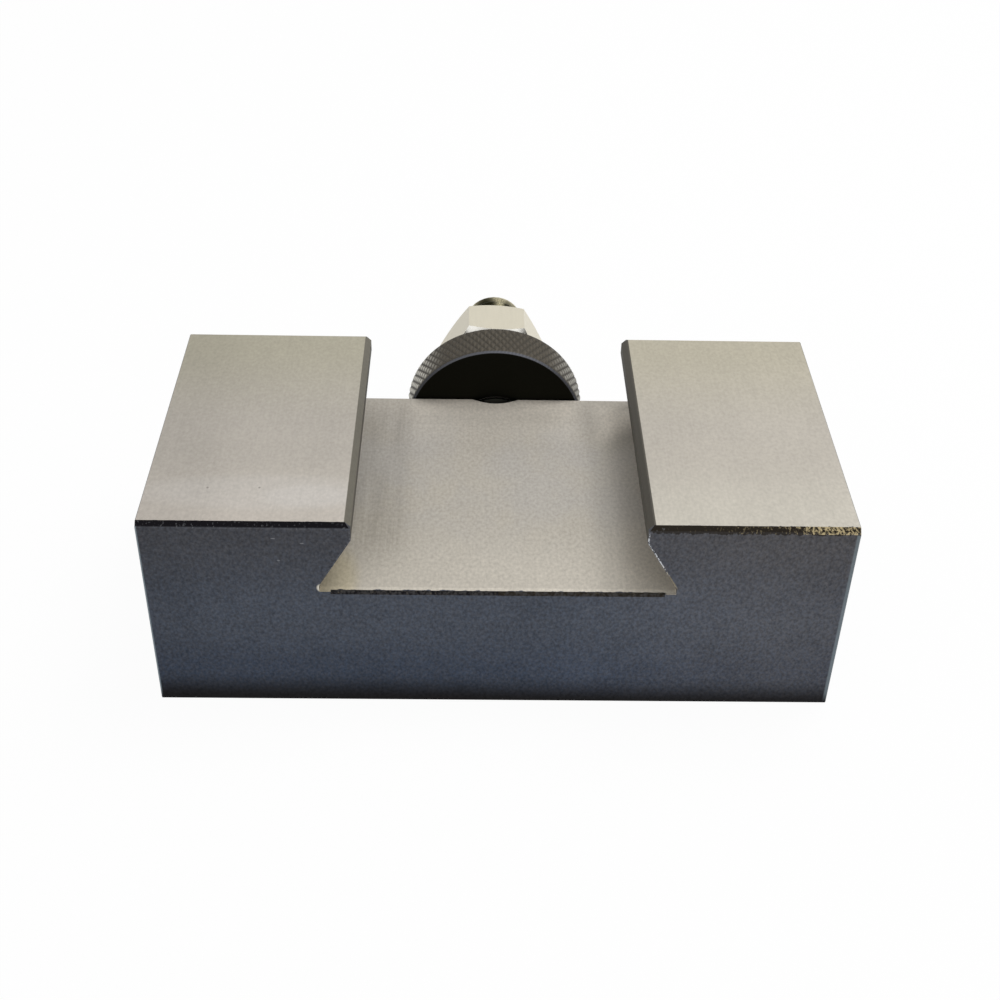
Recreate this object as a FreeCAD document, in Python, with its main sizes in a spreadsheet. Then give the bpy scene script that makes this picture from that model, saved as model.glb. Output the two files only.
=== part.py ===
import FreeCAD, Part
import os
import re

import Sketcher

# Quick change tool holder of a lathe's tool post, in millimetres. It lies on the side that takes the tool,
# with its dovetail groove up: +Z is up, X runs along the block's length, and Y along its height in use, from
# the face that is the lower one on the lathe (-Y) to the one that carries the nuts and screws (+Y).
# The origin is at the bottom centre of the box round the whole holder.

SIZES = {
    # the block
    "block_length": 76.2,
    "block_height": 38.1,
    "block_depth": 25.4,
    "land_chamfer": 0.6,
    "edge_break": 0.1,
    # the dovetail groove
    "groove_opening": 31.3,
    "groove_depth": 9.13,
    "lip_flat": 2.0,
    "root_flat": 0.8,
    "flank_angle": 60,
    "floor_break": 0.35,
    "floor_break_end": 1.2,
    "floor_far_break": 0.2,
    # the tool slot, between the near jaw and the screw jaw
    "near_jaw": 9.6,
    "slot_width": 13.5,
    "web": 4.27,
    "slot_corner": 0.5,
    "slot_break": 0.25,
    # the stud and its hole
    "thread_diameter": 8.0,
    "thread_clearance": 0.05,
    "stud_cover": 0.15,
    "stud_end_wall": 3.5,
    "stud_reach": 27.7,
    "stud_chamfer": 0.7,
    "stud_countersink": 1.25,
    # the knurled nut
    "disc_diameter": 22.9,
    "disc_thickness": 5.7,
    "disc_chamfer": 0.35,
    "collar_diameter": 12.0,
    "collar_chamfer": 0.5,
    "knurled_nut_height": 13.45,
    "knurl_count": 62,
    "knurl_depth": 0.35,
    "knurl_angle": 30,
    # the lock nut
    "lock_nut_width": 13.0,
    "lock_nut_height": 6.7,
    "lock_nut_turn": -2.5,
    "lock_nut_bevel": 0.33,
    "nut_bevel_angle": 30,
    "bore_countersink": 0.5,
    # the set screws
    "screw_diameter": 8.0,
    "screw_length": 20.0,
    "screw_disc_gap": 2.05,
    "screw_row_share": 0.65,
    "screw_chamfer": 0.8,
    "screw_point": 5.0,
    "screw_cup_depth": 1.0,
    "screw_socket": 4.0,
    "screw_socket_depth": 5.0,
    "screw_countersink": 0.6,
    "drill_point": 118,
}

# Places that follow from the sizes, as formulas of the sheet's cells
HALF_LENGTH = "(block_length / 2)"
LIP_HALF = "(groove_opening / 2)"
FLOOR = "(block_depth - groove_depth)"
ROOT_HALF = f"({LIP_HALF} + (groove_depth - lip_flat - root_flat) / tan(flank_angle))"
SLOT_ROOF = f"({FLOOR} - web)"
SLOT_FAR = "(near_jaw + slot_width)"
SCREW_JAW = f"(block_height - {SLOT_FAR})"
STUD_BORE = "(thread_diameter + 2 * thread_clearance)"
STUD_Z = f"({FLOOR} - stud_cover - {STUD_BORE} / 2)"
STUD_DEPTH = f"({SCREW_JAW} - stud_end_wall)"
SCREW_BORE = "(screw_diameter + 2 * thread_clearance)"
SCREW_Z = f"({SLOT_ROOF} / 2)"
INNER_SCREW = "(disc_diameter / 2 + screw_diameter / 2 + screw_disc_gap)"
OUTER_SCREW = f"({INNER_SCREW} + screw_row_share * ({HALF_LENGTH} - {INNER_SCREW}))"
SCREWS = {"set_screw_1": f"-{OUTER_SCREW}", "set_screw_2": f"-{INNER_SCREW}",
          "set_screw_3": INNER_SCREW, "set_screw_4": OUTER_SCREW}
NEAR_FACE = "(-(block_height + stud_reach) / 2)"
FAR_FACE = f"({NEAR_FACE} + block_height)"
TOUCH = 1e-6

doc = FreeCAD.newDocument("tool_holder")
sheet = doc.addObject("Spreadsheet::Sheet", "sizes")
for row, (alias, number) in enumerate(SIZES.items(), start=1):
    sheet.set(f"A{row}", alias)
    sheet.set(f"B{row}", str(number))
    sheet.setAlias(f"B{row}", alias)
doc.recompute()


def bind(item, path, text):
    """Ties one property to a formula in which each named size becomes a link to its cell."""
    linked = re.sub(r"[a-z]\w*", lambda word: f"sizes.{word[0]}" if word[0] in SIZES else word[0], text)
    item.setExpression(path, linked)


def new_body(name, x, y, z):
    """An empty body, placed by three formulas."""
    body = doc.addObject("PartDesign::Body", name)
    body.Label = name
    for axis, text in zip("xyz", (x, y, z)):
        bind(body, f"Placement.Base.{axis}", text)
    return body


def origin_item(body, role):
    return next(item for item in body.Origin.OriginFeatures if item.Role == role)


def new_sketch(body, name, plane, offset="0", tilt=None):
    """A sketch on one of the body's origin planes, moved along its normal and tilted about its own x."""
    sketch = body.newObject("Sketcher::SketchObject", name)
    sketch.AttachmentSupport = [(origin_item(body, plane), "")]
    sketch.MapMode = "FlatFace"
    if tilt:
        about_x = FreeCAD.Rotation(FreeCAD.Vector(1, 0, 0), 1)
        sketch.AttachmentOffset = FreeCAD.Placement(FreeCAD.Vector(), about_x)
        bind(sketch, "AttachmentOffset.Rotation.Angle", tilt)
    bind(sketch, "AttachmentOffset.Base.z", offset)
    return sketch


def place_point(sketch, geometry, position, x, y):
    """Dimensions one point of the sketch from its origin."""
    for kind, text in (("DistanceX", x), ("DistanceY", y)):
        number = sketch.addConstraint(Sketcher.Constraint(kind, -1, 1, geometry, position, 1.0))
        bind(sketch, f"Constraints[{number}]", text)


def draw_outline(sketch, corners):
    """A closed outline of straight lines through corners that are given as formulas."""
    first = sketch.GeometryCount
    count = len(corners)
    turn = FreeCAD.Rotation(FreeCAD.Vector(0, 0, 1), 360 / count)
    start = FreeCAD.Vector(1, 0, 0)
    for _ in corners:
        end = turn.multVec(start)
        sketch.addGeometry(Part.LineSegment(start, end), False)
        start = end
    for step in range(count):
        after = first + (step + 1) % count
        sketch.addConstraint(Sketcher.Constraint("Coincident", first + step, 2, after, 1))
    for step, (x, y) in enumerate(corners):
        place_point(sketch, first + step, 1, x, y)


def draw_circle(sketch, x, y, diameter):
    number = sketch.addGeometry(Part.Circle(FreeCAD.Vector(), FreeCAD.Vector(0, 0, 1), 1), False)
    place_point(sketch, number, 3, x, y)
    size = sketch.addConstraint(Sketcher.Constraint("Diameter", number, 2.0))
    bind(sketch, f"Constraints[{size}]", diameter)


def draw_hexagon(sketch, width, turn="0"):
    """A hexagon about the sketch's origin, given its width across flats. Unturned, a flat is on top."""
    corners = [f"({turn} + {60 * step})" for step in range(6)]
    reach = f"({width} / sqrt(3))"
    draw_outline(sketch, [(f"{reach} * cos({angle})", f"{reach} * sin({angle})") for angle in corners])


def add_feature(body, kind, name, sketch, **settings):
    """A feature of the body made from a sketch, with its settings."""
    feature = body.newObject(f"PartDesign::{kind}", name)
    feature.Profile = sketch
    for key, setting in settings.items():
        setattr(feature, key, setting)
    return feature


def revolve(body, kind, name, sketch):
    """The sketch turned once round its own vertical axis."""
    return add_feature(body, kind, name, sketch, ReferenceAxis=(sketch, ["V_Axis"]), Angle=360)


def edges_at(feature, test):
    """Names of the feature's straight edges whose two ends both pass the test."""
    names = []
    for number, edge in enumerate(feature.Shape.Edges, start=1):
        if len(edge.Vertexes) == 2 and all(test(corner.Point) for corner in edge.Vertexes):
            names.append(f"Edge{number}")
    return names


def dress_edges(body, kind, name, base, tests, path, text):
    """A chamfer or fillet on every edge of the base that passes one of the tests."""
    doc.recompute()
    names = sorted({edge for test in tests for edge in edges_at(base, test)})
    feature = body.newObject(f"PartDesign::{kind}", name)
    feature.Base = (base, names)
    bind(feature, path, text)
    return feature


def on(coordinate, place):
    """Whether a corner's coordinate is at a place, to a thousandth of a micrometre."""
    return abs(coordinate - place) < TOUCH


def make_holder_body():
    """The block: dovetail groove on top, tool slot below, screw holes and stud hole in the far face."""
    body = new_body("holder_body", "0", NEAR_FACE, "0")
    section = new_sketch(body, "block_section", "XZ_Plane", "-block_height")
    right = [(HALF_LENGTH, "0"), (HALF_LENGTH, "block_depth"), (LIP_HALF, "block_depth"),
             (LIP_HALF, "block_depth - lip_flat"), (ROOT_HALF, f"{FLOOR} + root_flat"), (ROOT_HALF, FLOOR)]
    draw_outline(section, right + [(f"-{x}", z) for x, z in reversed(right)])
    block = add_feature(body, "Pad", "block", section)
    bind(block, "Length", "block_height")

    end = sheet.block_length / 2
    top = sheet.block_depth
    floor = sheet.block_depth - sheet.groove_depth
    far = sheet.block_height
    lip = sheet.groove_opening / 2
    lands = dress_edges(body, "Chamfer", "land_edges", block,
                        [lambda p: on(p.z, top) and on(p.y, 0),
                         lambda p: on(p.z, top) and on(abs(p.x), lip)], "Size", "land_chamfer")
    dress_edges(body, "Chamfer", "outer_edges", lands,
                [lambda p: on(p.x, end), lambda p: on(p.x, -end),
                 lambda p: on(p.z, 0) and on(p.y, 0), lambda p: on(p.z, 0) and on(p.y, far),
                 lambda p: on(p.z, top) and on(p.y, far)],
                "Size", "edge_break")

    slot = new_sketch(body, "slot_section", "YZ_Plane")
    draw_outline(slot, [("near_jaw", "0"), (SLOT_FAR, "0"), (SLOT_FAR, SLOT_ROOF), ("near_jaw", SLOT_ROOF)])
    tool_slot = add_feature(body, "Pocket", "tool_slot", slot, Type="ThroughAll", Midplane=True)
    doc.recompute()
    roof = floor - sheet.web
    walls = (sheet.near_jaw, sheet.near_jaw + sheet.slot_width)
    rounded = dress_edges(body, "Fillet", "slot_corners", tool_slot,
                          [lambda p: on(p.z, roof) and on(p.y, walls[0]),
                           lambda p: on(p.z, roof) and on(p.y, walls[1])], "Radius", "slot_corner")
    mouth = dress_edges(body, "Chamfer", "slot_mouth", rounded,
                        [lambda p: on(p.z, 0) and on(p.y, walls[0]),
                         lambda p: on(p.z, 0) and on(p.y, walls[1])], "Size", "slot_break")
    dress_edges(body, "Chamfer", "floor_far_edge", mouth,
                [lambda p: on(p.z, floor) and on(p.y, far)], "Size", "floor_far_break")

    # The floor's front edge is broken between the flanks, short of the root corners
    corner = new_sketch(body, "floor_edge_section", "YZ_Plane")
    draw_outline(corner, [("-floor_break", f"{FLOOR} - 2 * floor_break"),
                          ("2 * floor_break", f"{FLOOR} + floor_break"),
                          ("-floor_break", f"{FLOOR} + floor_break")])
    floor_edge = add_feature(body, "Pocket", "floor_edge", corner, Midplane=True)
    bind(floor_edge, "Length", f"2 * ({ROOT_HALF} - floor_break_end)")

    row = new_sketch(body, "screw_row", "XZ_Plane", "-block_height")
    for place in SCREWS.values():
        draw_circle(row, place, SCREW_Z, SCREW_BORE)
    doc.recompute()
    holes = add_feature(body, "Hole", "screw_holes", row, Reversed=True, DepthType="Dimension",
                        DrillPoint="Flat", HoleCutType="Countersink", HoleCutCountersinkAngle=90)
    bind(holes, "Diameter", SCREW_BORE)
    bind(holes, "Depth", f"{SCREW_JAW} + slot_width / 2")
    bind(holes, "HoleCutDiameter", f"{SCREW_BORE} + 2 * screw_countersink")

    # The stud hole's countersink is wide enough to break through the groove's floor at the far face
    place = new_sketch(body, "stud_place", "XZ_Plane", "-block_height")
    draw_circle(place, "0", STUD_Z, STUD_BORE)
    doc.recompute()
    hole = add_feature(body, "Hole", "stud_hole", place, Reversed=True, DepthType="Dimension",
                       DrillPoint="Angled", HoleCutType="Countersink", HoleCutCountersinkAngle=90)
    bind(hole, "Diameter", STUD_BORE)
    bind(hole, "Depth", STUD_DEPTH)
    bind(hole, "DrillPointAngle", "drill_point")
    bind(hole, "HoleCutDiameter", f"{STUD_BORE} + 2 * stud_countersink")
    return body


def make_height_stud():
    """The stud, screwed into the block by the stud depth, with both ends chamfered."""
    body = new_body("height_stud", "0", FAR_FACE, STUD_Z)
    profile = new_sketch(body, "stud_profile", "XY_Plane")
    radius = "(thread_diameter / 2)"
    draw_outline(profile, [("0", f"-{STUD_DEPTH}"), (f"{radius} - stud_chamfer", f"-{STUD_DEPTH}"),
                           (radius, f"stud_chamfer - {STUD_DEPTH}"), (radius, "stud_reach - stud_chamfer"),
                           (f"{radius} - stud_chamfer", "stud_reach"), ("0", "stud_reach")])
    revolve(body, "Revolution", "stud", profile)
    return body


def make_knurled_nut():
    """The height nut: a thick disc with a diamond knurl, and a collar that the lock nut bears on.

    The disc starts as a prism that has as many flats as the knurl has grooves each way.
    """
    body = new_body("knurled_nut", "0", FAR_FACE, STUD_Z)
    disc = body.newObject("PartDesign::AdditivePrism", "disc")
    disc.AttachmentSupport = [(origin_item(body, "XZ_Plane"), "")]
    disc.MapMode = "FlatFace"
    bind(disc, "AttachmentOffset.Base.z", "-disc_thickness")
    bind(disc, "Polygon", "knurl_count")
    bind(disc, "Circumradius", "disc_diameter / 2 / cos(180 / knurl_count)")
    bind(disc, "Height", "disc_thickness")
    doc.recompute()
    dress_edges(body, "Chamfer", "disc_edges", disc,
                [lambda p: on(p.y, 0), lambda p: on(p.y, sheet.disc_thickness)], "Size", "disc_chamfer")

    # One vee groove leans each way across the rim, and both are repeated round it
    rim = "(disc_diameter / 2)"
    grooves = []
    for side, tilt in (("left", "knurl_angle"), ("right", "-knurl_angle")):
        vee = new_sketch(body, f"{side}_vee", "XZ_Plane", "-disc_thickness / 2", tilt)
        draw_outline(vee, [(f"{rim} - knurl_depth", "0"), (f"{rim} + knurl_depth", "2 * knurl_depth"),
                           (f"{rim} + knurl_depth", "-2 * knurl_depth")])
        groove = add_feature(body, "Pocket", f"{side}_groove", vee, Midplane=True)
        bind(groove, "Length", "2 * disc_thickness")
        grooves.append(groove)
    doc.recompute()
    knurl = body.newObject("PartDesign::PolarPattern", "knurl")
    knurl.Originals = grooves
    knurl.Axis = (origin_item(body, "Y_Axis"), [""])
    knurl.Angle = 360
    bind(knurl, "Occurrences", "knurl_count")
    body.Tip = knurl

    bore = f"({STUD_BORE} / 2)"
    collar = "(collar_diameter / 2)"
    start = "disc_thickness - disc_chamfer"
    turned = new_sketch(body, "collar_profile", "XY_Plane")
    draw_outline(turned, [(bore, start), (collar, start), (collar, "knurled_nut_height - collar_chamfer"),
                          (f"{collar} - collar_chamfer", "knurled_nut_height"),
                          (bore, "knurled_nut_height")])
    revolve(body, "Revolution", "collar", turned)
    hole = new_sketch(body, "bore_profile", "XY_Plane")
    draw_outline(hole, [("0", "0"), (f"{bore} + bore_countersink", "0"), (bore, "bore_countersink"),
                        (bore, "knurled_nut_height - bore_countersink"),
                        (f"{bore} + bore_countersink", "knurled_nut_height"), ("0", "knurled_nut_height")])
    revolve(body, "Groove", "bore", hole)
    return body


def make_lock_nut():
    """The hexagon nut: corners bevelled at both faces, bore countersunk at both ends."""
    body = new_body("lock_nut", "0", f"{FAR_FACE} + knurled_nut_height", STUD_Z)
    hexagon = new_sketch(body, "nut_hexagon", "XZ_Plane", "-lock_nut_height")
    draw_hexagon(hexagon, "lock_nut_width", "lock_nut_turn")
    blank = add_feature(body, "Pad", "nut_blank", hexagon)
    bind(blank, "Length", "lock_nut_height")

    cuts = new_sketch(body, "nut_cuts", "XY_Plane")
    face = "(lock_nut_width / 2 - lock_nut_bevel)"
    outside = "(lock_nut_width * 0.6)"
    drop = f"(({outside} - {face}) * tan(nut_bevel_angle))"
    bore = f"({STUD_BORE} / 2)"
    draw_outline(cuts, [(face, "0"), (outside, "0"), (outside, drop)])
    draw_outline(cuts, [(face, "lock_nut_height"), (outside, "lock_nut_height"),
                        (outside, f"lock_nut_height - {drop}")])
    draw_outline(cuts, [("0", "0"), (f"{bore} + bore_countersink", "0"), (bore, "bore_countersink"),
                        (bore, "lock_nut_height - bore_countersink"),
                        (f"{bore} + bore_countersink", "lock_nut_height"), ("0", "lock_nut_height")])
    revolve(body, "Groove", "bevels_and_bore", cuts)
    return body


def make_set_screw(name, x):
    """A socket set screw with a cup point, its point level with the tool slot's far wall."""
    body = new_body(name, x, f"{NEAR_FACE} + {SLOT_FAR}", SCREW_Z)
    profile = new_sketch(body, f"{name}_profile", "XY_Plane")
    radius = "(screw_diameter / 2)"
    point = "(screw_point / 2)"
    draw_outline(profile, [("0", "screw_cup_depth"), (point, "0"), (radius, f"{radius} - {point}"),
                           (radius, "screw_length - screw_chamfer"),
                           (f"{radius} - screw_chamfer", "screw_length"), ("0", "screw_length")])
    revolve(body, "Revolution", f"{name}_turned", profile)
    socket = new_sketch(body, f"{name}_hexagon", "XZ_Plane", "-screw_length")
    draw_hexagon(socket, "screw_socket")
    recess = add_feature(body, "Pocket", f"{name}_socket", socket, Reversed=True)
    bind(recess, "Length", "screw_socket_depth")
    return body


def check(bodies):
    """Stops before anything is written if a feature failed or a piece isn't one sound solid."""
    for item in doc.Objects:
        if "Invalid" in item.State or "Error" in item.State:
            raise RuntimeError(f"{item.Name} failed: {item.State}")
    for body in bodies:
        if body.Shape.isNull() or not body.Shape.isValid() or len(body.Shape.Solids) != 1:
            raise RuntimeError(f"{body.Label} isn't one sound solid")


bodies = [make_holder_body(), make_height_stud(), make_knurled_nut(), make_lock_nut()]
bodies += [make_set_screw(name, x) for name, x in SCREWS.items()]
doc.recompute()
check(bodies)
os.makedirs("parts", exist_ok=True)
for body in bodies:
    box = body.Shape.BoundBox
    print(f"{body.Label}: {body.Shape.Volume:.1f} cubic mm, x {box.XMin:.2f} to {box.XMax:.2f}, "
          f"y {box.YMin:.2f} to {box.YMax:.2f}, z {box.ZMin:.2f} to {box.ZMax:.2f}")
    body.Shape.exportStep(f"parts/{body.Label}.step")
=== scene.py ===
"""Looks of a quick change tool holder: ground and blackened steel, knurl, threads, camera, light and floor."""

import logging
import math
from dataclasses import dataclass, field
from enum import Enum
from typing import Union

import bpy
import numpy as np
from mathutils import Matrix, Vector


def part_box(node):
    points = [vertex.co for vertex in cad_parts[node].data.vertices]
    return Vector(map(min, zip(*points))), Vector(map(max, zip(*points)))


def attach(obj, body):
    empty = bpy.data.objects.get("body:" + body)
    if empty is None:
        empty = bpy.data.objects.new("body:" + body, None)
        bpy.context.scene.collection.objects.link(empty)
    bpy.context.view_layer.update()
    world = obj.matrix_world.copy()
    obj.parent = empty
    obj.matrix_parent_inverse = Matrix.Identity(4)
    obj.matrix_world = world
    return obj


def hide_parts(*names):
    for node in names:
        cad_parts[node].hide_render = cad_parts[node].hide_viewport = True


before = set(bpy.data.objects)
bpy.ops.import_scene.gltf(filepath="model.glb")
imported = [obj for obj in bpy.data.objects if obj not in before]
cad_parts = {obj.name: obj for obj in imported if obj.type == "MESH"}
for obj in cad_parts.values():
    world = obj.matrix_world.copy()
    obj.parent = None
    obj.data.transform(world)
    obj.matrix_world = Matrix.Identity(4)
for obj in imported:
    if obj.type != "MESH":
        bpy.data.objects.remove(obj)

LOG = logging.getLogger("tool_holder")
MM = 0.001
CRISP = 0.04  # the soft step of a mask along a sharp edge of the block, in millimetres
SCREWS = (1, 2, 3, 4)

Colour = tuple[float, float, float]
Number = Union[float, "Wire"]


def paint(red: float, green: float, blue: float) -> Colour:
    """A colour as a screen shows it, turned into the light that a shader works with.

    Each channel c from 0 to 255 becomes ((c / 255 + 0.055) / 1.055) ** 2.4, and c / 255 / 12.92 near black.

    Args:
        red: Red from 0 to 255.
        green: Green from 0 to 255.
        blue: Blue from 0 to 255.

    Returns:
        The same colour in linear light.
    """
    shares = (channel / 255 for channel in (red, green, blue))
    return tuple(((c + 0.055) / 1.055) ** 2.4 if c > 0.04045 else c / 12.92 for c in shares)


class Skin(Enum):
    """How a turned skin is closed."""

    SOLID = "a point on the axis at each end"
    RING = "its last station joined to its first"


class Wire:
    """A value in a node tree that takes part in sums as a number does."""

    def __init__(self, graph: "Graph", socket: bpy.types.NodeSocket) -> None:
        """Keeps the tree and the socket that carries the value."""
        self.graph = graph
        self.socket = socket

    def __add__(self, other: Number) -> "Wire":
        """The sum of this and another value."""
        return self.graph.math("ADD", self, other)

    __radd__ = __add__

    def __sub__(self, other: Number) -> "Wire":
        """This value less another."""
        return self.graph.math("SUBTRACT", self, other)

    def __rsub__(self, other: Number) -> "Wire":
        """Another value less this one."""
        return self.graph.math("SUBTRACT", other, self)

    def __mul__(self, other: Number) -> "Wire":
        """The product of this and another value."""
        return self.graph.math("MULTIPLY", self, other)

    __rmul__ = __mul__

    def __truediv__(self, other: Number) -> "Wire":
        """This value divided by another."""
        return self.graph.math("DIVIDE", self, other)

    def __abs__(self) -> "Wire":
        """This value without its sign."""
        return self.graph.math("ABSOLUTE", self)

    def above(self, edge: Number, blur: float) -> "Wire":
        """1 where this value is over the edge and 0 where it is under, with a soft step as wide as the blur."""
        return self.graph.ramp(self - edge, -blur / 2, blur / 2)

    def below(self, edge: Number, blur: float) -> "Wire":
        """1 where this value is under the edge and 0 where it is over, with a soft step as wide as the blur."""
        return 1 - self.above(edge, blur)

    def within(self, low: Number, high: Number, blur: float) -> "Wire":
        """1 where this value lies between low and high, with soft steps as wide as the blur."""
        return self.above(low, blur) * self.below(high, blur)

    def either(self, other: Number) -> "Wire":
        """The larger of this and another value."""
        return self.graph.math("MAXIMUM", self, other)


class Graph:
    """The node tree of one material or world, filled by expressions."""

    def __init__(self, owner: Union[bpy.types.Material, bpy.types.World]) -> None:
        """Clears the owner's node tree.

        Args:
            owner: The material or world that the tree belongs to.
        """
        owner.use_nodes = True
        self.tree = owner.node_tree
        self.tree.nodes.clear()

    def node(self, kind: str, settings: dict | None = None, sockets: dict | None = None) -> bpy.types.Node:
        """Adds one node.

        Args:
            kind: The node's type, without the word ShaderNode.
            settings: Its properties, set first. A ramp's stops are a list of (place, colour).
            sockets: Values, colours, wires or sockets for its inputs, by name or number.

        Returns:
            The new node.
        """
        made = self.tree.nodes.new(f"ShaderNode{kind}")
        for key, setting in (settings or {}).items():
            setattr(made, key, setting)
        for key, given in (sockets or {}).items():
            entry = made.inputs[key]
            if isinstance(given, Wire):
                given = given.socket
            if isinstance(given, bpy.types.NodeSocket):
                self.tree.links.new(given, entry)
            elif isinstance(given, tuple) and entry.type == "RGBA":
                entry.default_value = (*given, 1.0)
            else:
                entry.default_value = given
        return made

    def math(self, operation: str, *values: Number) -> Wire:
        """A Math node of the given operation on the values."""
        made = self.node("Math", {"operation": operation}, dict(enumerate(values)))
        return Wire(self, made.outputs[0])

    def ramp(self, value: Number, low: float, high: float) -> Wire:
        """A smooth step from 0 at low to 1 at high."""
        made = self.node("MapRange", {"interpolation_type": "SMOOTHSTEP"},
                         {"Value": value, "From Min": low, "From Max": high})
        return Wire(self, made.outputs["Result"])

    def mix(self, share: Number, first: object, second: object) -> bpy.types.NodeSocket:
        """A colour that goes from the first to the second as the share goes from 0 to 1."""
        made = self.node("Mix", {"data_type": "RGBA", "clamp_factor": True}, {0: share, 6: first, 7: second})
        return made.outputs[2]

    def scaled(self, colour: object, factor: Number) -> bpy.types.NodeSocket:
        """A colour made lighter or darker by a factor."""
        made = self.node("VectorMath", {"operation": "SCALE"}, {0: colour, "Scale": factor})
        return made.outputs[0]

    def place(self) -> "Place":
        """Reads where the shader's point is on the piece, in the piece's own coordinates.

        Returns:
            The point in millimetres, with the surface's direction.
        """
        source = self.node("TexCoord")
        point = self.node("VectorMath", {"operation": "SCALE"}, {0: source.outputs["Object"], "Scale": 1 / MM})
        spots = self.node("SeparateXYZ", sockets={0: point.outputs[0]})
        faces = self.node("SeparateXYZ", sockets={0: source.outputs["Normal"]})
        return Place(point.outputs[0], *(Wire(self, s) for s in (*spots.outputs, *faces.outputs)))

    def noise(self, at: bpy.types.NodeSocket, scale: tuple[float, float, float], detail: float, rough: float,
              seed: float) -> Wire:
        """Smooth noise from 0 to 1.

        Args:
            at: The point, in millimetres.
            scale: Waves per millimetre along X, Y and Z.
            detail: How many finer layers are added.
            rough: The strength of each finer layer against the one before.
            seed: A shift that makes this noise differ from others.

        Returns:
            The noise.
        """
        moved = self.node("Mapping", sockets={"Vector": at, "Scale": scale, "Location": (seed, seed / 2, -seed)})
        made = self.node("TexNoise", sockets={"Vector": moved.outputs[0], "Scale": 1.0, "Detail": detail,
                                              "Roughness": rough})
        return Wire(self, made.outputs["Fac"])

    def steel(self, colour: object, metallic: Number, roughness: Number, relief: Number, strength: float) -> None:
        """Leads the shader of a steel surface to the tree's output.

        Args:
            colour: The base colour.
            metallic: How metallic the surface is, from 0 to 1.
            roughness: Its roughness, from 0 to 1.
            relief: The height of its fine relief, in millimetres.
            strength: How much of the relief shows, from 0 to 1.
        """
        bump = self.node("Bump", sockets={"Height": relief, "Strength": strength, "Distance": MM})
        shader = self.node("BsdfPrincipled", sockets={
            "Base Color": colour, "Metallic": metallic, "Roughness": roughness, "Normal": bump.outputs[0]})
        self.finish(shader.outputs[0])

    def finish(self, shader: bpy.types.NodeSocket, kind: str = "OutputMaterial") -> None:
        """Leads the shader to the tree's output."""
        self.node(kind, sockets={"Surface": shader})


@dataclass(frozen=True)
class Mark:
    """A soft oval mark on a face: its middle and half widths along two directions in millimetres, its strength."""

    across: float
    along: float
    half_across: float
    half_along: float
    strength: float = 1.0

    def share(self, first: Wire, second: Wire) -> Wire:
        """1 in the mark's middle, fading to 0 at its edge.

        Args:
            first: The place along the first direction.
            second: The place along the second direction.

        Returns:
            The mark's strength.
        """
        one = (first - self.across) / self.half_across
        two = (second - self.along) / self.half_along
        return (one * one + two * two).below(0.6, 0.8) * self.strength


@dataclass(frozen=True)
class Place:
    """Where a shader's point is, in millimetres, and which way the surface faces there."""

    point: bpy.types.NodeSocket
    x: Wire
    y: Wire
    z: Wire
    facing_x: Wire
    facing_y: Wire
    facing_z: Wire

    @property
    def near_face(self) -> Wire:
        """1 where the surface faces the near side, along -Y."""
        return self.facing_y.below(-0.9, 0.05)

    @property
    def right(self) -> Wire:
        """1 on the right half of the piece, where x is over 0."""
        return self.x.above(0, 0.1)


def new_material(name: str) -> tuple[bpy.types.Material, Graph]:
    """An empty material and the graph that fills it."""
    material = bpy.data.materials.new(name)
    return material, Graph(material)


@dataclass(frozen=True)
class Tones:
    """Three colours of one face, from its near edge over its middle to its far edge."""

    near: Colour
    middle: Colour
    far: Colour

    def along(self, g: Graph, front: Wire) -> bpy.types.NodeSocket:
        """The colour at a distance in millimetres from the near edge."""
        colour = g.mix(front.above(8, 12), self.near, self.middle)
        return g.mix(front.above(27, 20), colour, self.far)


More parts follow.
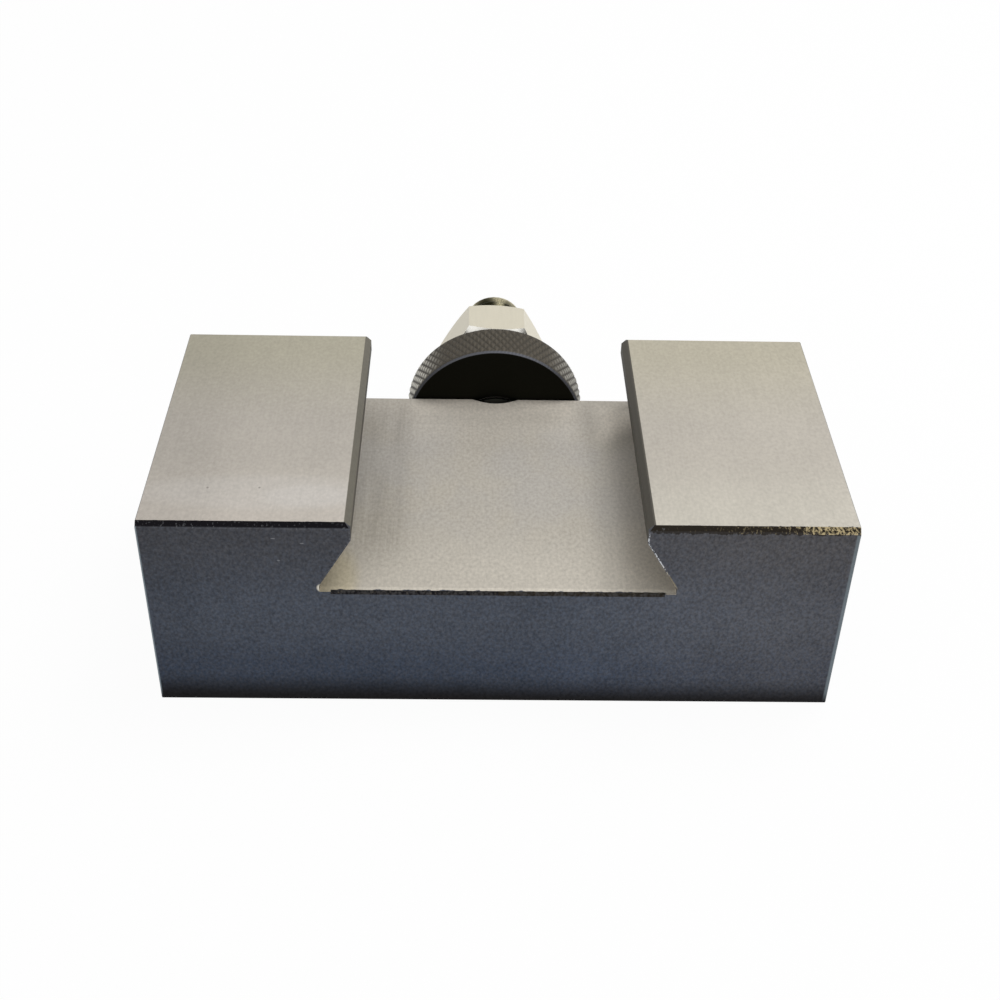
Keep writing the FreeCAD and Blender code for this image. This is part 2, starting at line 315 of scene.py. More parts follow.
@dataclass(frozen=True)
class BlockSteel:
    """Blackened steel whose dovetail side is ground bright, with the marks that the photograph shows."""

    # The lands' tones get lighter towards their near edge: painted reflection.
    left_land: Tones = Tones(paint(179, 172, 163), paint(167, 161, 152), paint(160, 155, 138))
    right_land: Tones = Tones(paint(178, 173, 162), paint(169, 163, 153), paint(167, 161, 144))
    floor: Tones = Tones(paint(177, 171, 160), paint(170, 164, 153), paint(164, 158, 148))
    cool: Colour = paint(150, 149, 150)
    painted_glare: Colour = paint(205, 205, 205)
    # The floor's streaks along the left root are partly painted shade under the left lip.
    streaked_shade: Colour = paint(108, 102, 90)
    # The left chamfer and lip are lit copies and the right ones shaded copies of one finish: painted light and shade.
    left_chamfer: Colour = paint(98, 94, 83)
    right_chamfer: Colour = paint(64, 60, 51)
    left_lip: Colour = paint(66, 63, 55)
    right_lip: Colour = paint(60, 58, 50)
    flank: Colour = paint(112, 108, 98)
    # oxide_top, oxide_middle and oxide_low: painted reflection, grey at the top and bluish lower down.
    oxide_top: Colour = paint(70, 72, 78)
    oxide_middle: Colour = paint(73, 79, 90)
    oxide_low: Colour = paint(57, 65, 79)
    # Painted shade along the bottom of the black faces.
    painted_base_shade: Colour = paint(25, 24, 25)
    oxide_warm: Colour = paint(84, 79, 75)
    # edge: a painted highlight down the block's near corners.
    edge: Colour = paint(128, 140, 146)
    left_strip: Colour = paint(24, 23, 26)
    right_strip: Colour = paint(40, 36, 31)
    floor_strip: Colour = paint(64, 63, 63)
    pit: Colour = paint(18, 17, 18)
    bare: Colour = paint(205, 208, 212)
    brass: Colour = paint(186, 170, 132)
    pits: tuple[Mark, ...] = (Mark(-31.35, 6.34, 0.16, 0.2, 0.4), Mark(-25.8, 6.44, 0.16, 0.2, 0.4))
    # glare: patches of painted glare on the left land.
    glare: tuple[Mark, ...] = (Mark(-25.0, 5.6, 17.0, 3.8, 0.13), Mark(-20.5, 5.0, 6.0, 2.4, 0.12))
    scratches: tuple[Mark, ...] = (Mark(-23.8, 23.57, 0.3, 0.1, 0.2), Mark(-20.8, 22.94, 0.25, 0.1, 0.2),
                                   Mark(-23.4, 20.58, 0.2, 0.12, 0.2))
    # The bright line along the groove's outline is partly bared steel and partly a painted edge highlight.
    burr_and_glint_height: float = 18.9
    tan: Colour = paint(174, 164, 138)
    tip: Colour = paint(214, 208, 196)
    root_stain: Mark = Mark(-18.2, 1.8, 3.6, 7.5, 0.75)
    root_tip: Mark = Mark(-19.2, 16.8, 0.45, 0.6, 0.9)

    def ground_share(self, p: Place, g: Graph, block: "Block") -> Wire:
        """1 where the ground steel shows and 0 where the block is black.

        The lands and the groove are ground. The strips along their near edges and every outer face are black,
        and the strips' edges wander a little, most on the right at the end.

        Args:
            p: The point on the piece.
            g: The tree that is being filled.
            block: The block's places.

        Returns:
            The mask.
        """
        side = abs(p.x)
        front = block.front(p)
        on_land = p.z.above(block.top - 0.05, CRISP)
        in_groove = side.below(block.root_half + 0.2, CRISP) * p.z.above(block.floor - 0.06, CRISP)
        level = abs(p.facing_y).below(0.4, 0.2)
        ragged = g.noise(p.point, (1.3, 0.0, 0.0), 3.0, 0.6, 3.0)
        wander = 0.25 + 0.9 * p.x.within(29.0, 37.6, 1.5)
        land_reach = block.land_chamfer + (ragged - 0.5).either(0) * wander
        floor_reach = block.floor_break + (ragged - 0.45).either(0) * 0.7
        on_floor = p.z.below(block.lip, CRISP)
        land_clear = front.above(land_reach, CRISP).either(on_floor)
        floor_clear = front.above(floor_reach, CRISP).either(p.z.above(block.floor + 0.3, CRISP))
        corner = side.above(block.root_half - 1.5 + 0.4 * p.right, 0.4) * on_floor
        return on_land.either(in_groove) * level * land_clear * floor_clear.either(corner)

    def land_tone(self, p: Place, g: Graph, block: "Block") -> bpy.types.NodeSocket:
        """The lands' colour, with the glare and the pits on the left one.

        Args:
            p: The point on the piece.
            g: The tree that is being filled.
            block: The block's places.

        Returns:
            The colour.
        """
        front = block.front(p)
        land = g.mix(p.right, self.left_land.along(g, front), self.right_land.along(g, front))
        land = g.scaled(land, 1 - 0.10 * p.x.below(-31, 8))
        # Painted glare on the left land.
        for spot in self.glare:
            land = g.mix(spot.share(p.x, front), land, self.painted_glare)
        for pit in self.pits:
            land = g.mix(pit.share(p.x, front), land, self.pit)
        return land

    def floor_tone(self, p: Place, g: Graph, block: "Block", cloud: Wire) -> bpy.types.NodeSocket:
        """The groove floor's colour.

        It is tan in the near left corner and darker in streaks along the left root, which is partly painted shade
        under the left lip. It is painted lighter beside the disc and along the right flank: painted light that takes
        out part of the shade they cast, which is weaker in the photograph.

        Args:
            p: The point on the piece.
            g: The tree that is being filled.
            block: The block's places.
            cloud: Noise of wide soft patches.

        Returns:
            The colour.
        """
        side = abs(p.x)
        front = block.front(p)
        floor = self.floor.along(g, front)
        floor = g.mix(self.root_stain.share(p.x, front), floor, self.tan)
        streak = g.noise(p.point, (1.8, 0.05, 0.0), 3.0, 0.6, 61.0)
        streaks = p.x.within(-17.5, -10.5, 3.0) * front.within(6, 36, 10) * (streak - 0.2).either(0)
        # Darker streaks along the left root: partly painted shade under the left lip.
        floor = g.mix(streaks * 0.85, floor, self.streaked_shade)
        floor = g.scaled(floor, 1 + 0.16 * front.within(block.floor_break, block.floor_break + 0.5, 0.15))
        floor = g.mix(cloud.above(0.5, 0.3) * front.within(10, 32, 14) * 0.3, floor, self.cool)
        # Painted light: the floor is lightened under and beside the disc, along the right flank and at its far right
        # end, against the shade that the disc and the flank cast.
        painted_light_under_disc = 0.36 * front.above(36.6, 1.6) * side.below(6.5, 5.0)
        painted_light_by_disc = (0.13 * front.above(29.5, 6.0) + 0.25 * front.above(35.0, 4.0)) * side.below(10.0, 3.0)
        painted_light_by_wall = 0.40 * front.below(9.0, 14.0) + 0.30 * front.within(9.0, 28.0, 8.0)
        painted_light_by_end = 0.82 * front.above(17.0 + 0.9 * p.x, 5.0) * front.below(36.4, 3.2)
        right = painted_light_by_wall * p.x.above(13.5, 4.0) + painted_light_by_end * p.x.above(13.2, 3.4)
        return g.scaled(floor, 1 + painted_light_by_disc + painted_light_under_disc + right)

    def steel_tone(self, p: Place, g: Graph, block: "Block", lines: Wire) -> bpy.types.NodeSocket:
        """The ground steel's colour: lands, lips, flanks and floor, with their patches and grinding lines.

        Args:
            p: The point on the piece.
            g: The tree that is being filled.
            block: The block's places.
            lines: Noise of the grinding lines.

        Returns:
            The colour.
        """
        cloud = g.noise(p.point, (0.14, 0.10, 0.10), 3.0, 0.55, 23.0)
        grain = g.noise(p.point, (2.8, 1.9, 1.9), 2.0, 0.6, 29.0)
        slanted = p.facing_z.above(0.3, 0.1)
        # The right lip and chamfer are darker than the left ones: painted shade on the side away from the light.
        lip = g.mix(slanted, g.mix(p.right, self.left_lip, self.right_lip),
                    g.mix(p.right, self.left_chamfer, self.right_chamfer))
        low = g.mix(p.z.above(block.floor + 0.1, CRISP), self.floor_tone(p, g, block, cloud), self.flank)
        low = g.mix(p.z.above(block.lip - 0.02, CRISP), low, lip)
        rim = block.lip_half + block.land_chamfer + 0.08 + 0.10 * p.right
        on_land = p.z.above(block.top - 0.05, CRISP) * abs(p.x).above(rim, 0.06)
        steel = g.mix(on_land, low, self.land_tone(p, g, block))
        grained = 0.38 + 0.24 * p.z.below(block.lip, 0.1)
        return g.scaled(steel, 1 + 0.14 * (lines - 0.5) + 0.16 * (cloud - 0.5) + grained * (grain - 0.5))

    def black_tone(self, p: Place, g: Graph, block: "Block", speck: Wire) -> bpy.types.NodeSocket:
        """The black oxide's colour.

        It is grey at the top and bluish lower down, a painted reflection, and nearly black along the bottom, a
        painted shade. It is lighter on the right, with a painted highlight down both near corners.

        Args:
            p: The point on the piece.
            g: The tree that is being filled.
            block: The block's places.
            speck: Noise of fine specks.

        Returns:
            The colour.
        """
        hue = g.noise(p.point, (3.0, 3.0, 2.4), 1.0, 0.5, 53.0)
        # Painted reflection: grey at the top, bluish lower down.
        black = g.mix(p.z.above(19.0, 12.0), self.oxide_middle, self.oxide_top)
        low = p.z.below(8.0, 8.0)
        black = g.mix(low, black, self.oxide_low)
        black = g.mix(hue.above(0.5, 0.4) * 0.2 + p.x.above(20, 30) * 0.25, black, self.oxide_warm)
        # Painted shade: nearly black along the bottom.
        black = g.mix(p.z.below(2.6 - 0.55 * p.x.above(0, 50), 4.4), black, self.painted_base_shade)
        lighter = 1 + 0.19 * p.x.within(12 - 8 * low, 40, 20) * p.z.above(1.0, 3.0)
        darker = 0.12 * p.x.below(-33, 6) * p.z.above(8, 6)
        blotch = g.noise(p.point, (0.16, 0.16, 0.22), 2.0, 0.5, 83.0)
        black = g.scaled(black, (lighter - darker) * (1.0 + 1.45 * (speck - 0.5) + 0.3 * (blotch - 0.5)))
        for scratch in self.scratches:
            black = g.mix(scratch.share(p.x, p.z) * p.near_face, black, self.bare)
        # Painted highlight down both near corners.
        corner = p.x.above(block.length / 2 - 0.42, 0.2) * 0.55
        corner = corner.either(p.x.below(0.18 - block.length / 2, 0.1) * 0.8)
        return g.mix(corner * p.facing_y.below(-0.5, 0.2) * p.z.above(1.0, 2.0), black, self.edge)

    def strip_share(self, p: Place, g: Graph, block: "Block", strips: Wire) -> Wire:
        """1 on the black strips along the near edges, and where their fringe hangs over the near face.

        Args:
            p: The point on the piece.
            g: The tree that is being filled.
            block: The block's places.
            strips: 1 on the bevels along the near edges.

        Returns:
            The mask.
        """
        over = p.z - block.top + block.land_chamfer
        narrow = over.above(0.12, 0.12).either(p.z.below(block.lip, 0.1))
        fringe = g.noise(p.point, (2.4, 0.0, 0.0), 3.0, 0.7, 19.0)
        hanging = over.above(0.04 - 1.1 * (fringe - 0.42).either(0), 0.08)
        hanging = hanging * p.facing_y.below(-0.5, 0.1) * p.x.above(block.lip_half + 0.3, 0.4)
        return (strips * narrow).either(hanging * 0.85)

    def bare_share(self, p: Place, g: Graph, block: "Block", strips: Wire) -> Wire:
        """1 where wear has bared the steel: nicks along the strips, and a bright line along the groove's outline that
        is partly bared steel and partly a painted edge highlight.

        Args:
            p: The point on the piece.
            g: The tree that is being filled.
            block: The block's places.
            strips: 1 on the bevels along the near edges.

        Returns:
            The mask.
        """
        nick = g.noise(p.point, (4.2, 3.0, 3.0), 3.0, 0.7, 77.0)
        rough_end = 0.25 * p.x.above(23.0, 5.0) + 0.75 * p.x.above(31.5, 5.0)
        nicks = strips * nick.above(0.64 - 0.13 * rough_end, 0.12) * (0.12 + 0.7 * rough_end)
        outline = abs(p.x) - block.flank_line(p.z).either(block.lip_half)
        # Partly bared steel, partly a painted edge highlight along the groove's outline.
        burr_and_glint = outline.within(-0.08, 0.10 + 0.12 * nick, 0.06) * p.near_face
        burr_and_glint = burr_and_glint * p.z.within(block.floor + 0.9, block.top - 0.8, 0.6)
        dots = nick.above(0.51, 0.08) * p.z.above(self.burr_and_glint_height, 0.8)
        burr_and_glint = burr_and_glint * dots.either(0.4 * p.z.below(self.burr_and_glint_height, 0.8)) * (0.10 + 0.80 * p.right)
        return nicks.either(burr_and_glint)

    def material(self, block: "Block") -> bpy.types.Material:
        """Builds the finish.

        Args:
            block: The block's places, which the masks follow.

        Returns:
            The material.
        """
        material, g = new_material("block_steel")
        p = g.place()
        lines = g.noise(p.point, (5.0, 0.05, 0.05), 3.0, 0.6, 11.0)
        speck = g.noise(p.point, (3.0, 3.0, 2.4), 2.0, 0.65, 5.0)
        ground = self.ground_share(p, g, block)
        strips = p.facing_z.within(0.4, 0.9, 0.1) * p.facing_y.below(-0.4, 0.1)
        strip = g.mix(p.right, self.left_strip, self.right_strip)
        strip = g.mix((speck.above(0.5, 0.3) * 0.8) * p.z.below(block.lip, 0.1), strip, self.floor_strip)
        black = g.mix(self.strip_share(p, g, block, strips), self.black_tone(p, g, block, speck), strip)
        black = g.mix(self.root_tip.share(p.x, p.z) * p.near_face, black, self.tip)
        bare = self.bare_share(p, g, block, strips)
        tarnished = p.x.above(18.0, 1.5).either(p.z.below(19.0, 0.6))
        colour = g.mix(ground, black, self.steel_tone(p, g, block, lines))
        colour = g.mix(bare, colour, g.mix(tarnished, self.bare, self.brass))
        sheen = 0.46 + 0.12 * ground + 0.08 * (lines - 0.5)
        relief = lines * 0.006 * ground + speck * 0.010 * (1 - ground)
        g.steel(colour, 1 - 0.68 * ground, sheen, relief, 0.4)
        return material


@dataclass(frozen=True)
class DarkSteel:
    """Black oxide on the set screws, with a little wear on its highest places."""

    tone: Colour = paint(26, 26, 27)
    worn: Colour = paint(50, 50, 50)

    def material(self) -> bpy.types.Material:
        """Builds the finish.

        Returns:
            The material.
        """
        material, g = new_material("set_screw_steel")
        p = g.place()
        speck = g.noise(p.point, (4.0, 4.0, 4.0), 4.0, 0.6, 9.0)
        cloud = g.noise(p.point, (0.4, 0.4, 0.4), 2.0, 0.5, 31.0)
        share = g.ramp(cloud * 0.6 + speck * 0.4, 0.45, 0.75)
        colour = g.scaled(g.mix(share, self.tone, self.worn), 0.8 + 0.4 * speck)
        g.steel(colour, 0.5, 0.36 + 0.1 * (speck - 0.5), speck * 0.01, 0.5)
        return material


@dataclass(frozen=True)
class KnurledSteel:
    """Dark oxide on the knurled nut: nearly black faces, a greyer rim with worn crests, a bluish near edge."""

    face: Colour = paint(25, 25, 20)
    back: Colour = paint(146, 143, 136)
    groove: Colour = paint(72, 68, 61)
    crest: Colour = paint(81, 76, 68)
    # side: the crests' colour on the rim's sides, lighter than on top: painted reflection.
    side: Colour = paint(168, 166, 159)
    edge: Colour = paint(89, 90, 95)

    def material(self, nut: "KnurledNut") -> bpy.types.Material:
        """Builds the finish.

        Args:
            nut: The nut's places, which the masks follow.

        Returns:
            The material.
        """
        material, g = new_material("knurled_nut_steel")
        p = g.place()
        height = p.z - nut.centre_z
        reach = g.math("SQRT", p.x * p.x + height * height)
        rim = reach.above(nut.rim - nut.depth - 0.12, 0.05)
        speck = g.noise(p.point, (3.0, 3.0, 3.0), 4.0, 0.6, 9.0)
        worn = reach.above(nut.rim - 0.5 * nut.depth, nut.depth)
        # Painted reflection: the crests are lighter on the rim's sides, most on the left.
        crest = g.mix(abs(p.x).above(8.4, 4.4), self.crest, self.side)
        crest = g.scaled(crest, 1 + 0.6 * p.x.below(-8.0, 3.0))
        side = g.mix(worn, self.groove, crest)
        colour = g.mix(rim, g.mix(p.near_face, self.back, self.face), side)
        edge = reach.within(nut.rim - nut.disc_chamfer - 0.05, nut.rim, 0.1) * p.facing_y.below(-0.5, 0.2)
        colour = g.mix(edge, colour, self.edge)
        colour = g.scaled(colour, 0.9 + 0.2 * speck)
        g.steel(colour, 1.0, 0.5 + 0.15 * rim, speck * 0.006, 0.4)
        return material


@dataclass(frozen=True)
class BrightSteel:
    """Plated steel of the lock nut, drawn along its length, with near white ends and bevels at its corners as a
    painted highlight, and its flats that face +X lighter as painted light.
    """

    tone: Colour = paint(204, 198, 180)
    # bevel: near white on the ends and bevels, a painted highlight.
    bevel: Colour = paint(250, 248, 241)

    def material(self) -> bpy.types.Material:
        """Builds the finish.

        Returns:
            The material.
        """
        material, g = new_material("lock_nut_steel")
        p = g.place()
        drawn = g.noise(p.point, (3.0, 0.3, 3.0), 3.0, 0.6, 13.0)
        end = abs(p.facing_y).above(0.5, 0.2)
        colour = g.mix(end, self.tone, self.bevel)
        # Painted light: the flats that face +X are lighter.
        colour = g.scaled(colour, 0.95 + 0.10 * drawn + 0.16 * p.facing_x.above(0.4, 0.3))
        g.steel(colour, 0.7 + 0.3 * end, 0.36 - 0.16 * end + 0.06 * (drawn - 0.5), drawn * 0.004, 0.4)
        return material


@dataclass(frozen=True)
class StudSteel:
    """Black oxide on the stud, worn bright towards its free end, with oily stains on top."""

    dark: Colour = paint(34, 34, 30)
    bright: Colour = paint(192, 185, 156)
    oil: Colour = paint(34, 33, 20)
    # pale: a painted highlight on the stud's end chamfer.
    pale: Colour = paint(214, 208, 190)
    stains: tuple[Mark, ...] = (Mark(-1.3, -3.5, 2.3, 3.9, 1.0), Mark(2.1, -3.2, 1.0, 2.5, 0.95),
                                Mark(0.6, -3.3, 2.6, 3.6, 0.4))
    worn_length: float = 9.0
    pale_length: float = 0.95

    def material(self, centre_z: float, tip: float) -> bpy.types.Material:
        """Builds the finish.

        Args:
            centre_z: The height of the stud's axis, in millimetres.
            tip: The place of its free end along Y, in millimetres.

        Returns:
            The material.
        """
        material, g = new_material("stud_steel")
        p = g.place()
        speck = g.noise(p.point, (3.0, 3.0, 3.0), 3.0, 0.6, 9.0)
        back = p.y - tip
        colour = g.mix(back.above(-self.worn_length, 2.0), self.dark, self.bright)
        for streaked_shade in self.stains:
            colour = g.mix(streaked_shade.share(p.x, back) * p.z.above(centre_z, 0.6), colour, self.oil)
        # Painted highlight on the stud's end chamfer.
        colour = g.mix(back.above(-self.pale_length, 0.6), colour, self.pale)
        colour = g.scaled(colour, 0.9 + 0.2 * speck)
        g.steel(colour, 1.0, 0.4 + 0.1 * (speck - 0.5), speck * 0.006, 0.4)
        return material


def shaft(node: str) -> tuple[float, Vector]:
    """Where a CAD piece lies along the thread axis.

    Args:
        node: The piece's name.

    Returns:
        Its length in millimetres, and the middle of its near end in metres.
    """
    low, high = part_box(node)
    return (high.y - low.y) / MM, Vector(((low.x + high.x) / 2, low.y, (low.z + high.z) / 2))


@dataclass
class Lathe:
    """Closed shapes round the thread axis, with edges past the crease's angle in degrees kept sharp."""

    centre: Vector
    crease: float = 32.0

    def mesh(self, name: str, along: np.ndarray, radius: np.ndarray, skin: Skin = Skin.SOLID,
             forward: np.ndarray | bool = False) -> bpy.types.Object:
        """A closed skin through the stations.

        A point is centre + (r sin a, y, r cos a), for each station's y and r and each angle a.

        Args:
            name: The piece's name.
            along: Each station's place along the axis in millimetres, from the far end to the near end, and in a
                ring from there back through the bore.
            radius: The radius at each station and angle, in millimetres.
            skin: How the skin is closed. In a solid, the first and last station shrink to one point each.
            forward: Which of a cell's two diagonals cuts it, for all cells or for each.

        Returns:
            The new object.
        """
        solid = skin is Skin.SOLID
        kept = slice(1, -1) if solid else slice(None)
        rings, places = radius[kept], along[kept]
        count, steps = rings.shape
        angle = np.arange(steps) * (2 * math.pi / steps)
        sideways, upwards = rings * np.sin(angle), rings * np.cos(angle)
        lengthways = np.broadcast_to(places[:, None], rings.shape)
        points = np.stack([sideways, lengthways, upwards], axis=-1).reshape(-1, 3)

        row, column = np.meshgrid(np.arange(count - 1 if solid else count), np.arange(steps), indexing="ij")
        below, beside = (row + 1) % count, (column + 1) % steps
        a, b = row * steps + column, row * steps + beside
        d, c = below * steps + column, below * steps + beside
        chosen = np.broadcast_to(forward, a.shape).ravel()[:, None, None]
        one = np.stack([a, c, b, a, d, c], axis=-1).reshape(-1, 2, 3)
        two = np.stack([a, d, b, b, d, c], axis=-1).reshape(-1, 2, 3)
        faces = np.where(chosen, one, two).reshape(-1, 3)
        if solid:
            start, turn = np.arange(steps), (np.arange(steps) + 1) % steps
            last, pole = (count - 1) * steps, len(points)
            far_fan = np.stack([np.full(steps, pole), start, turn], axis=-1)
            near_fan = np.stack([np.full(steps, pole + 1), last + turn, last + start], axis=-1)
            faces = np.concatenate([faces, far_fan, near_fan])
            points = np.concatenate([points, [[0, along[0], 0], [0, along[-1], 0]]])

        corners = points[faces]
        volume = np.einsum("ij,ij->", corners[:, 0], np.cross(corners[:, 1], corners[:, 2])) / 6
        if volume <= 0:
            raise ValueError(f"{name} is inside out")
        made = bpy.data.meshes.new(name)
        made.from_pydata((points * MM + np.array(self.centre)).tolist(), [], faces.tolist())
        made.polygons.foreach_set("use_smooth", np.ones(len(faces), dtype=bool))
        made.set_sharp_from_angle(angle=math.radians(self.crease))
        made.update()
        piece = bpy.data.objects.new(name, made)
        bpy.context.scene.collection.objects.link(piece)
        LOG.info("%s: %d triangles, %.0f cubic mm", name, len(faces), volume)
        return piece


@dataclass
class Block:
    """The holder's block: its places as the frame gives them, and its finish."""

    finish: BlockSteel = field(default_factory=BlockSteel)
    groove_depth: float = 9.13
    groove_opening: float = 31.3
    lip_flat: float = 2.0
    root_flat: float = 0.8
    flank_angle: float = 60.0
    land_chamfer: float = 0.6
    floor_break: float = 0.35

    def __post_init__(self) -> None:
        """Reads the block's box, in millimetres."""
        low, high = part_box("holder_body")
        self.length = (high.x - low.x) / MM
        self.near, self.top = low.y / MM, high.z / MM
        self.floor = self.top - self.groove_depth
        self.lip = self.top - self.lip_flat
        self.lip_half = self.groove_opening / 2
        self.slope = 1 / math.tan(math.radians(self.flank_angle))
        self.root_half = self.lip_half + (self.groove_depth - self.lip_flat - self.root_flat) * self.slope

    def front(self, p: Place) -> Wire:
        """A point's distance from the near face, in millimetres."""
        return p.y - self.near

    def flank_line(self, height: Wire) -> Wire:
        """Half the groove's width at a height: the lip's, wider by the slope times the depth under the lip."""
        return self.lip_half + (self.lip - height) * self.slope

    def dress(self) -> None:
        """Gives the block its finish."""
        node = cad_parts["holder_body"]
        node.data.materials.clear()
        node.data.materials.append(self.finish.material(self))
        LOG.info("block dressed")


@dataclass
class Threaded:
    """A piece with an M8 thread: its lengths in millimetres, and its depth and flats as shares of the pitch."""

    crest: float = 4.0
    pitch: float = 1.25
    depth_share: float = 0.54
    root_flat: float = 0.25
    crest_flat: float = 0.125
    steps: int = 36

    @property
    def depth(self) -> float:
        """The thread's depth, in millimetres."""
        return self.depth_share * self.pitch

    def rows(self, length: float) -> np.ndarray:
        """Places of the thread's rows over a length, as many to a pitch as the grid has angles."""
        return np.linspace(0, length, int(round(length / self.pitch * self.steps)) + 1)

    def radius(self, along: np.ndarray) -> np.ndarray:
        """The thread's radius at each place along it and each angle.

        With t the place less the turn, counted in pitches and folded to 0 at the root's middle and 1 at the
        crest's, the radius goes straight from the root at t = 1/4 to the crest at t = 7/8. The flats are each
        as wide as their share of the pitch.

        Args:
            along: Places along the axis, in millimetres.

        Returns:
            The radius for each place and angle.
        """
        turn = np.arange(self.steps) / self.steps
        phase = (along[:, None] / self.pitch - turn[None, :]) % 1.0
        folded = 1 - np.abs(2 * phase - 1)
        rise = np.clip((folded - self.root_flat) / (1 - self.crest_flat - self.root_flat), 0, 1)
        return self.crest - self.depth * (1 - rise)


@dataclass
class Stud(Threaded):
    """The height stud, threaded from end to end."""

    chamfer: float = 0.7
    finish: StudSteel = field(default_factory=StudSteel)

    def build(self) -> None:
        """Makes the threaded stud in the place of the plain one.

        Going from the far end to the near one, the radius is the thread's, or a cone's at 45 degrees where the
        end's chamfer is lower.
        """
        length, centre = shaft("height_stud")
        down = self.rows(length)[::-1]
        flat = self.crest - self.chamfer
        thread = self.radius(down)
        cone = flat + np.minimum(down, length - down)
        body = np.minimum(thread, cone[:, None])
        ends = np.zeros((1, self.steps))
        along = np.concatenate([[length], down, [0.0]])
        piece = Lathe(centre).mesh("threaded_stud", along, np.concatenate([ends, body, ends]))
        piece.data.materials.append(self.finish.material(centre.z / MM, centre.y / MM + length))
        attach(piece, "holder")
        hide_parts("height_stud")


@dataclass
class SetScrew(Threaded):
    """One socket set screw: hexagon socket at its far end, cup point at its near end."""

    number: int = 1
    chamfer: float = 0.8
    point: float = 2.5
    cup: float = 1.0
    socket: float = 4.0
    socket_depth: float = 5.0
    drill_point: float = 1.0

    def hexagon(self) -> np.ndarray:
        """The socket's outline: half its width divided by the cosine of the angle from the nearest flat."""
        angle = np.arange(self.steps) * (2 * math.pi / self.steps)
        return self.socket / 2 / np.cos((angle + math.pi / 6) % (math.pi / 3) - math.pi / 6)

    def build(self, material: bpy.types.Material) -> None:
        """Makes the threaded screw in the place of the plain one.

        Going from the far end to the near one: the socket's floor, its walls, the end face, the chamfered
        thread, the point and the cup.

        Args:
            material: The finish that all four screws share.
        """
        node = f"set_screw_{self.number}"
        length, centre = shaft(node)
        down = self.rows(length)[::-1]
        head = self.crest - self.chamfer + (length - down)
        tip = self.point + down
        body = np.minimum(self.radius(down), np.minimum(head, tip)[:, None])
        walls = np.tile(self.hexagon(), (2, 1))
        pole = np.zeros((1, self.steps))
        floor = length - self.socket_depth
        along = np.concatenate([[floor - self.drill_point, floor, length], down, [self.cup]])
        radius = np.concatenate([pole, walls, body, pole])
        piece = Lathe(centre).mesh(f"socket_set_screw_{self.number}", along, radius)
        piece.data.materials.append(material)
        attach(piece, node)
        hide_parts(node)


@dataclass
class KnurledNut:
    """The height nut: a disc with a diamond knurl of 0.8 mm pitch, and a collar."""

    count: int = 76
    per_groove: int = 8
    lean: float = 30.0
    depth: float = 0.15
    crest: float = 0.8
    disc: float = 5.7
    rim: float = 11.45
    disc_chamfer: float = 0.35
    collar: float = 6.0
    collar_chamfer: float = 0.5
    bore: float = 4.05
    countersink: float = 0.5
    finish: KnurledSteel = field(default_factory=KnurledSteel)

    def __post_init__(self) -> None:
        """Reads the nut's box, in millimetres."""
        self.length, self.centre = shaft("knurled_nut")
        self.centre_z = self.centre.z / MM

    def rim_rows(self) -> tuple[np.ndarray, np.ndarray, np.ndarray]:
        """The knurled rim, from its far edge to its near one.

        With N grooves each way, angle a, place y and axial pitch p, the grooves run where u = N a / 2 pi + y / p
        or v = N a / 2 pi - y / p is whole. The height over their floor is the lesser of twice the distances of u
        and v from the nearest whole number, cut off at the crest's share. Cones at 45 degrees bevel both edges.
        The rows are spaced so that every groove runs along the diagonals of cells.

        Returns:
            The rows' places, their radius at each angle, and which cells are cut by the forward diagonal.
        """
        pitch = 2 * math.pi * self.rim / self.count
        wanted = pitch / math.tan(math.radians(self.lean)) / self.per_groove
        rows = int(round(self.disc / wanted))
        row, column = np.meshgrid(np.arange(rows + 1), np.arange(self.count * self.per_groove), indexing="ij")
        along = self.disc * (1 - row[:, 0] / rows)
        u = (column + rows - row) / self.per_groove
        v = (column - rows + row) / self.per_groove
        height = 2 * np.minimum(np.abs(u - np.round(u)), np.abs(v - np.round(v)))
        knurl = self.rim - self.depth * (1 - np.minimum(height, self.crest) / self.crest)
        cone = self.rim - self.disc_chamfer + np.minimum(along, self.disc - along)
        forward = (column + rows - row) % self.per_groove == 0
        return along, np.minimum(knurl, cone[:, None]), forward[:-1]

    def build(self) -> None:
        """Makes the finely knurled nut in the place of the coarse one.

        The ring of stations goes round the collar's end, down the collar, over the rim and back through the bore.
        """
        along, rim, forward = self.rim_rows()
        steps = rim.shape[1]
        end, mouth = self.length, self.bore + self.countersink
        before = [(end, mouth), (end, self.collar - self.collar_chamfer), (end - self.collar_chamfer, self.collar),
                  (self.disc, self.collar)]
        after = [(0.0, mouth), (self.countersink, self.bore), (end - self.countersink, self.bore)]
        places = np.concatenate([[y for y, _ in before], along, [y for y, _ in after]])
        plain = [np.tile(np.array([r for _, r in part])[:, None], (1, steps)) for part in (before, after)]
        radius = np.concatenate([plain[0], rim, plain[1]])
        chosen = np.zeros(radius.shape, dtype=bool)
        chosen[len(before):len(before) + len(forward)] = forward
        piece = Lathe(self.centre).mesh("fine_knurled_nut", places, radius, Skin.RING, chosen)
        piece.data.materials.append(self.finish.material(self))
        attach(piece, "knurled_nut")
        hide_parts("knurled_nut")


@dataclass
class LockNut:
    """The hexagon nut that locks the knurled one."""

    finish: BrightSteel = field(default_factory=BrightSteel)

    def dress(self) -> None:
        """Gives the nut its finish."""
        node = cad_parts["lock_nut"]
        node.data.materials.clear()
        node.data.materials.append(self.finish.material())
        LOG.info("lock nut dressed")


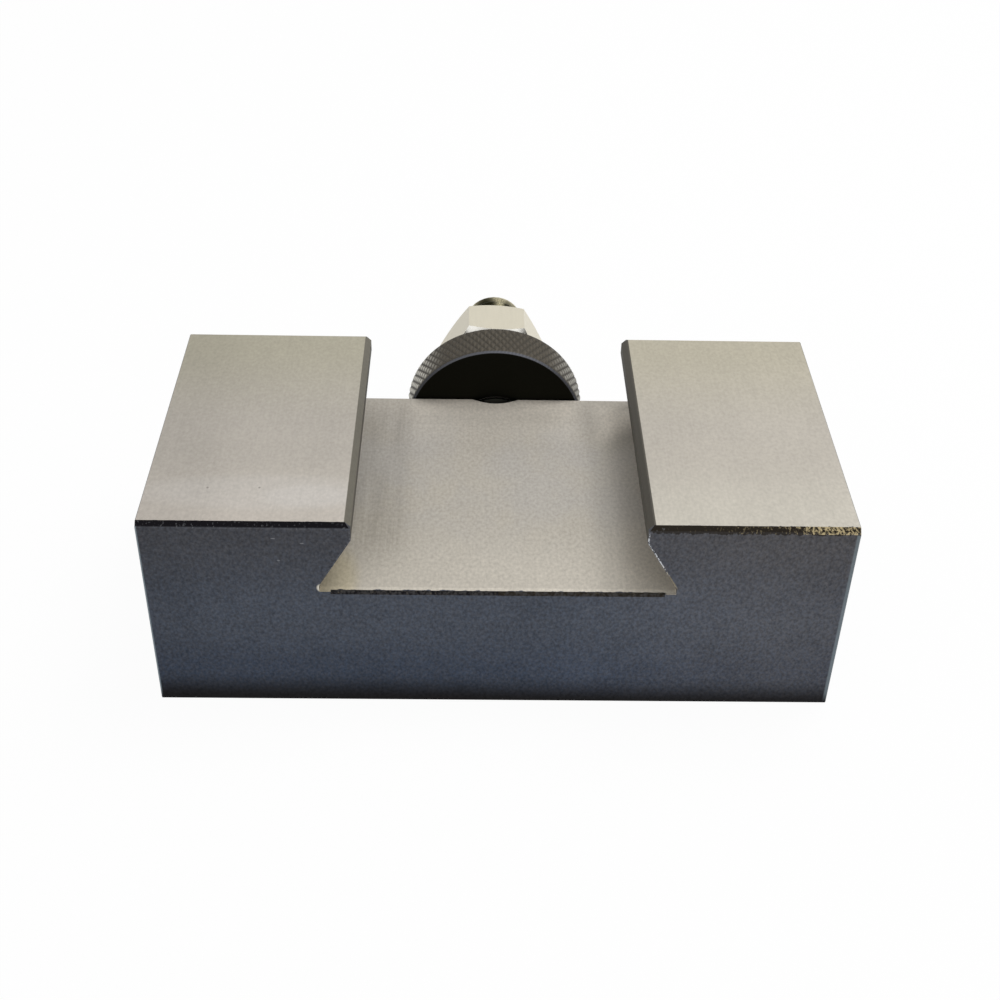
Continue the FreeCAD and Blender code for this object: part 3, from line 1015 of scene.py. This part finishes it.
@dataclass
class Studio:
    """The camera, the lamps, the white surroundings and the floor, in millimetres and degrees."""

    camera_place: tuple[float, float, float] = (-3.356, -154.267, 121.451)
    camera_lens: float = 53.350
    camera_turn: float = 1.550
    camera_dip: float = 37.300
    camera_roll: float = 1.537
    camera_clip: float = 10.0
    floor_size: float = 6000.0
    floor_white: float = 0.85
    shadow_share: float = 0.04
    fill: float = 0.5
    key_place: tuple[float, float, float] = (175, 90, 470)
    key_size: float = 260
    key_power: float = 1.57

    def place_camera(self) -> None:
        """Puts the camera where the photograph was taken from."""
        data = bpy.data.cameras.new("photo_camera")
        data.lens = self.camera_lens
        data.clip_start = self.camera_clip * MM
        camera = bpy.data.objects.new("photo_camera", data)
        bpy.context.scene.collection.objects.link(camera)
        turn = Matrix.Rotation(math.radians(-self.camera_turn), 4, "Z")
        dip = Matrix.Rotation(math.radians(90 - self.camera_dip), 4, "X")
        roll = Matrix.Rotation(math.radians(self.camera_roll), 4, "Z")
        camera.matrix_world = Matrix.Translation(Vector(self.camera_place) * MM) @ turn @ dip @ roll
        bpy.context.scene.camera = camera

    def seen(self, g: Graph) -> Wire:
        """1 for rays from the camera and for those that gloss or glass sends on, which see white.

        Args:
            g: The tree that is being filled.

        Returns:
            The mask.
        """
        path = g.node("LightPath")
        names = ("Is Camera Ray", "Is Glossy Ray", "Is Transmission Ray")
        camera, glossy, through = (Wire(g, path.outputs[name]) for name in names)
        return camera.either(glossy).either(through)

    def light_world(self) -> None:
        """Surrounds the object with white that fills shadows at a lower level."""
        world = bpy.data.worlds.new("surroundings")
        bpy.context.scene.world = world
        g = Graph(world)
        strength = self.fill + (1 - self.fill) * self.seen(g)
        shader = g.node("Background", sockets={"Color": (1.0, 1.0, 1.0), "Strength": strength})
        g.finish(shader.outputs[0], "OutputWorld")

    def lay_floor(self) -> None:
        """Lays a white floor that keeps a faint shadow."""
        half = self.floor_size / 2 * MM
        corners = [(-half, -half, 0), (half, -half, 0), (half, half, 0), (-half, half, 0)]
        mesh = bpy.data.meshes.new("floor")
        mesh.from_pydata(corners, [], [(0, 1, 2, 3)])
        floor = bpy.data.objects.new("floor", mesh)
        bpy.context.scene.collection.objects.link(floor)
        material, g = new_material("floor_white")
        matt = g.node("BsdfDiffuse", sockets={"Color": (self.floor_white,) * 3})
        glow = g.node("Emission", sockets={"Color": (1.0, 1.0, 1.0), "Strength": 1.0})
        share = self.seen(g) * (1 - self.shadow_share)
        mixed = g.node("MixShader", sockets={0: share, 1: matt.outputs[0], 2: glow.outputs[0]})
        g.finish(mixed.outputs[0])
        mesh.materials.append(material)

    def lamp(self, name: str, place: tuple[float, float, float], size: float, power: float) -> None:
        """A square lamp that faces the object.

        Args:
            name: The lamp's name.
            place: Its centre, in millimetres.
            size: Its side, in millimetres.
            power: Its power, in watts.
        """
        data = bpy.data.lights.new(name, "AREA")
        data.size = size * MM
        data.energy = power
        lamp = bpy.data.objects.new(name, data)
        bpy.context.scene.collection.objects.link(lamp)
        back = Vector(place).normalized()
        lamp.matrix_world = Matrix.Translation(Vector(place) * MM) @ back.to_track_quat("Z", "Y").to_matrix().to_4x4()

    def build(self) -> None:
        """Sets up the camera, the light and the floor."""
        bpy.context.scene.view_settings.view_transform = "Standard"
        self.place_camera()
        self.light_world()
        self.lay_floor()
        self.lamp("key", self.key_place, self.key_size, self.key_power)
        LOG.info("studio ready")


def main() -> None:
    """Builds every piece in order."""
    logging.basicConfig(level=logging.INFO, format="%(name)s: %(message)s")
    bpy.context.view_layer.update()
    Studio().build()
    Block().dress()
    Stud().build()
    KnurledNut().build()
    LockNut().dress()
    screw_finish = DarkSteel().material()
    for number in SCREWS:
        SetScrew(number=number).build(screw_finish)


if __name__ == "__main__":
    main()
